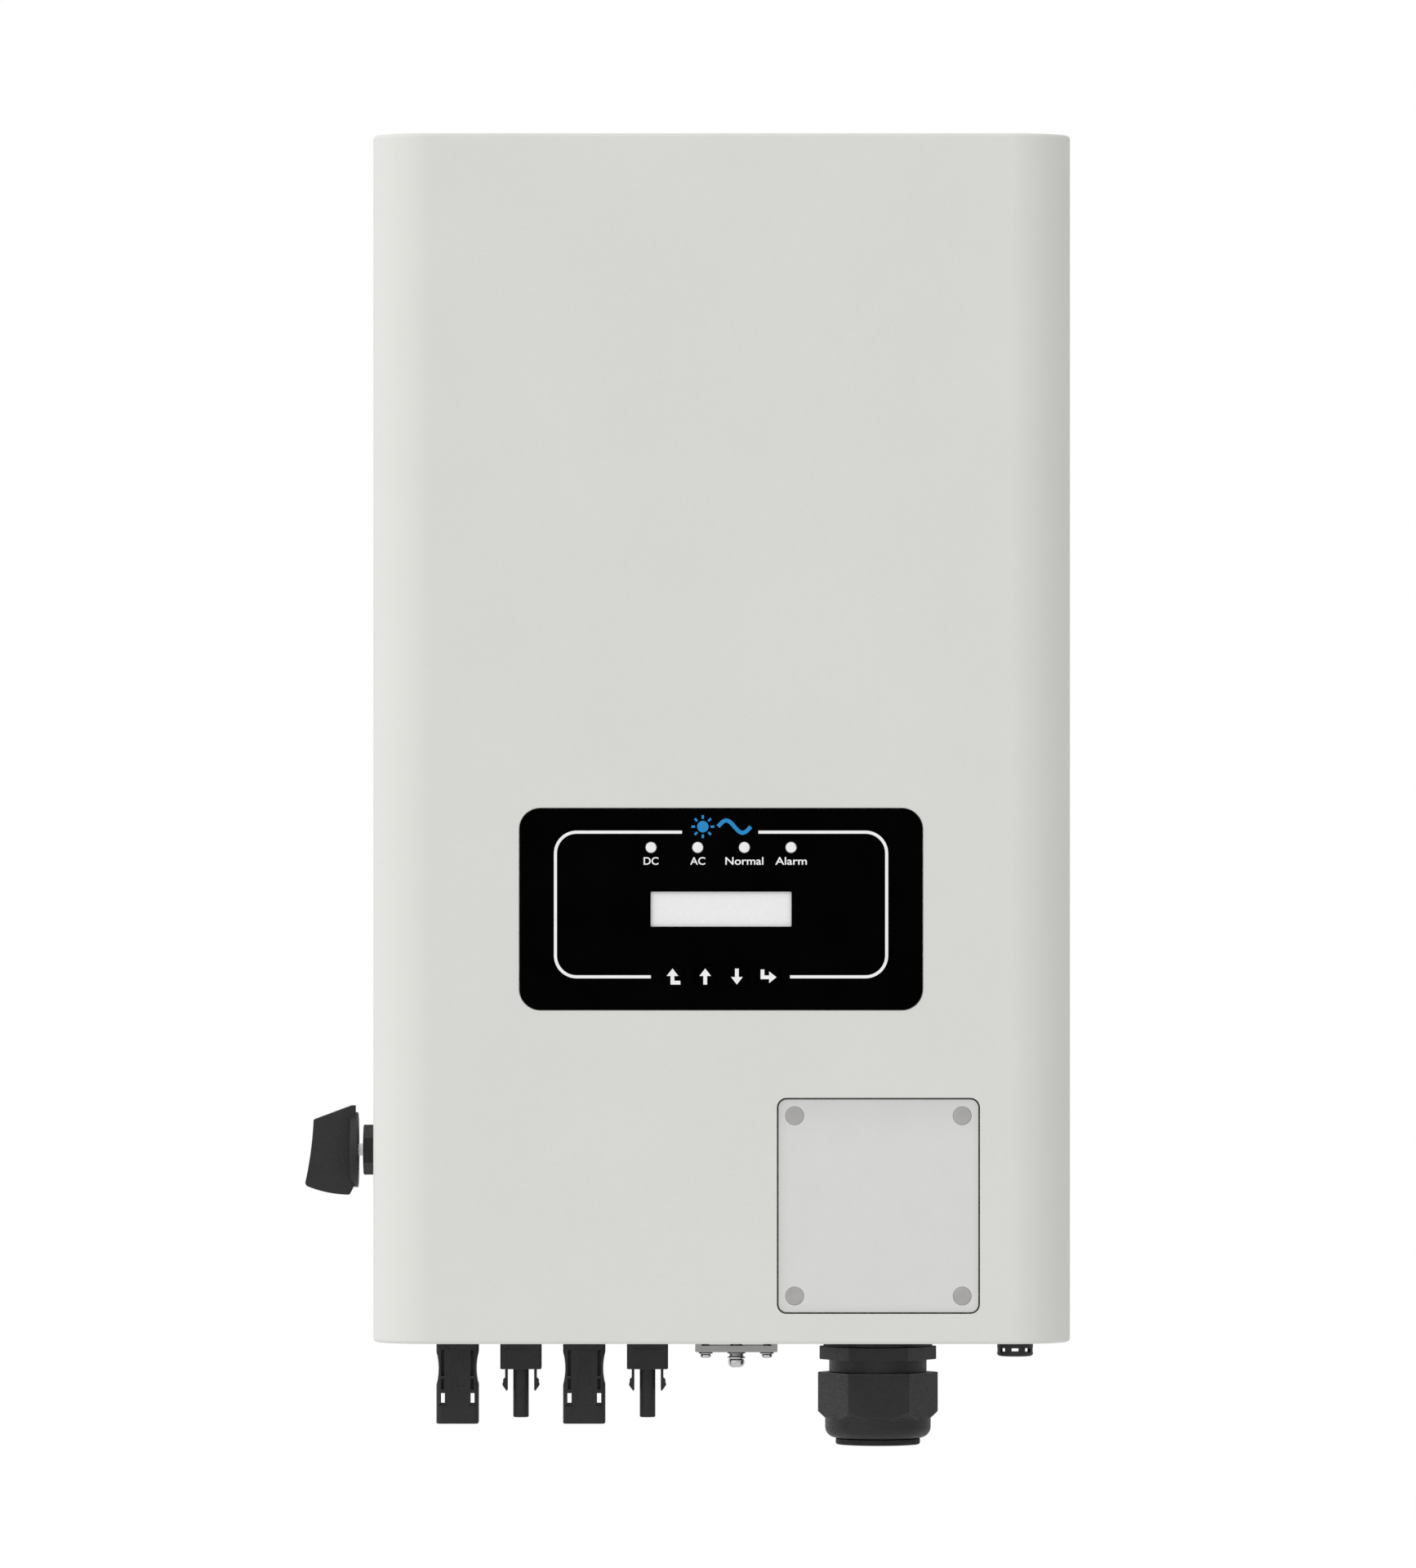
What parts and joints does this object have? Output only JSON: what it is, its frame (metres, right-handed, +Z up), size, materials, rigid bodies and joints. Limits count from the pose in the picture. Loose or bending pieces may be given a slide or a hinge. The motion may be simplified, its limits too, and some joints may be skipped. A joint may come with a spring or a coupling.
{
  "type": "string inverter",
  "caption": "Wall-hung solar string inverter: slim painted cabinet on a finned heat sink, with display, wiring cover, side DC switch, PV sockets, earthing, cable gland and breather.",
  "frame": {"origin": "on the wall: the point of the wall bracket's back face behind the middle of the body", "axes": "+Z up, the front faces -Y, +Y goes into the wall, +X is to the right of a viewer in front"},
  "size_m": [0.3642, 0.2003, 0.6229],
  "materials": {
    "body_paint": "matt light grey powder coat, very fine texture",
    "hatch_paint": "matt light grey powder coat, smoother than the body",
    "aluminium": "extruded, lightly blasted",
    "galvanised_steel": "zinc coated, dull, with faint spangle",
    "bright_steel": "bright stainless steel",
    "black_rubber": "matt black EPDM",
    "grey_plastic": "mid grey push-in plug",
    "black_film": "black polyester membrane",
    "screen": "pale display behind a clear film",
    "frosted_plastic": "white diffusing light guide",
    "circuit_board": "green solder mask",
    "black_nylon": "black glass-filled nylon",
    "potting": "black epoxy",
    "capacitor_sleeve": "black shrink sleeve",
    "copper_winding": "enamelled copper wire",
    "terminal_plastic": "green thermoplastic"
  },
  "bodies": {
    "bracket": {"wall_bracket": "galvanised_steel"},
    "inverter": {"front_cover": "body_paint", "rear_housing": "body_paint", "wiring_cover": "hatch_paint", "heat_sink": "aluminium", "earth_plate": "aluminium", "boost_inductor": "aluminium", "hanger_plate": "galvanised_steel", "hanger_screw_1": "bright_steel", "hanger_screw_2": "bright_steel", "hanger_screw_3": "bright_steel", "hanger_screw_4": "bright_steel", "wiring_cover_screw_1": "bright_steel", "wiring_cover_screw_2": "bright_steel", "wiring_cover_screw_3": "bright_steel", "wiring_cover_screw_4": "bright_steel", "earth_screw_left": "bright_steel", "earth_screw_right": "bright_steel", "earth_terminal_screw": "bright_steel", "housing_gasket": "black_rubber", "wiring_cover_gasket": "black_rubber", "gland_washer": "black_rubber", "screw_plug_1": "grey_plastic", "screw_plug_2": "grey_plastic", "screw_plug_3": "grey_plastic", "screw_plug_4": "grey_plastic", "display_membrane": "black_film", "lcd_module": "screen", "light_guide": "frosted_plastic", "display_board": "circuit_board", "power_board": "circuit_board", "control_board": "circuit_board", "switch_lock_nut": "black_nylon", "switch_body": "black_nylon", "pv_connector_1": "black_nylon", "pv_connector_2": "black_nylon", "pv_connector_3": "black_nylon", "pv_connector_4": "black_nylon", "pv_nut_1": "black_nylon", "pv_nut_2": "black_nylon", "pv_nut_3": "black_nylon", "pv_nut_4": "black_nylon", "gland_body": "black_nylon", "gland_lock_nut": "black_nylon", "breather_cap": "black_nylon", "breather_nut": "black_nylon", "power_module": "potting", "grid_relay": "potting", "bus_capacitor_1": "capacitor_sleeve", "bus_capacitor_2": "capacitor_sleeve", "filter_choke": "copper_winding", "ac_terminal_block": "terminal_plastic"},
    "dc_switch": {"switch_knob": "black_nylon", "switch_shaft": "bright_steel"},
    "escape_key": {"key_escape": "black_film"},
    "up_key": {"key_up": "black_film"},
    "down_key": {"key_down": "black_film"},
    "enter_key": {"key_enter": "black_film"},
    "seal": {"gland_seal": "black_rubber"},
    "clamping_nut": {"gland_nut": "black_nylon"}
  },
  "joints": [
    {"name": "lift_off", "type": "slide", "parent": "bracket", "child": "inverter", "axis": [0, 0, 1], "range_m": [0, 0.022]},
    {"name": "dc_switch_turn", "type": "hinge", "parent": "inverter", "child": "dc_switch", "pos_m": [-0.165, -0.108, -0.1965], "axis": [1, 0, 0], "range_deg": [0, 90]},
    {"name": "escape_key_press", "type": "slide", "parent": "inverter", "child": "escape_key", "axis": [0, 1, 0], "range_m": [0, 0.0005], "stiffness_N_per_m": 1200},
    {"name": "up_key_press", "type": "slide", "parent": "inverter", "child": "up_key", "axis": [0, 1, 0], "range_m": [0, 0.0005], "stiffness_N_per_m": 1200},
    {"name": "down_key_press", "type": "slide", "parent": "inverter", "child": "down_key", "axis": [0, 1, 0], "range_m": [0, 0.0005], "stiffness_N_per_m": 1200},
    {"name": "enter_key_press", "type": "slide", "parent": "inverter", "child": "enter_key", "axis": [0, 1, 0], "range_m": [0, 0.0005], "stiffness_N_per_m": 1200},
    {"name": "seal_slide", "type": "slide", "parent": "inverter", "child": "seal", "axis": [0, 0, -1], "range_m": [0, 0.0045]},
    {"name": "gland_nut_turn", "type": "hinge", "parent": "seal", "child": "clamping_nut", "pos_m": [0.0749, -0.108, -0.32], "axis": [0, 0, -1], "range_deg": [0, 1080]}
  ],
  "couplings": [
    {"joint": "seal_slide", "follows": "gland_nut_turn", "m_per_rad": 0.00023873}
  ]
}
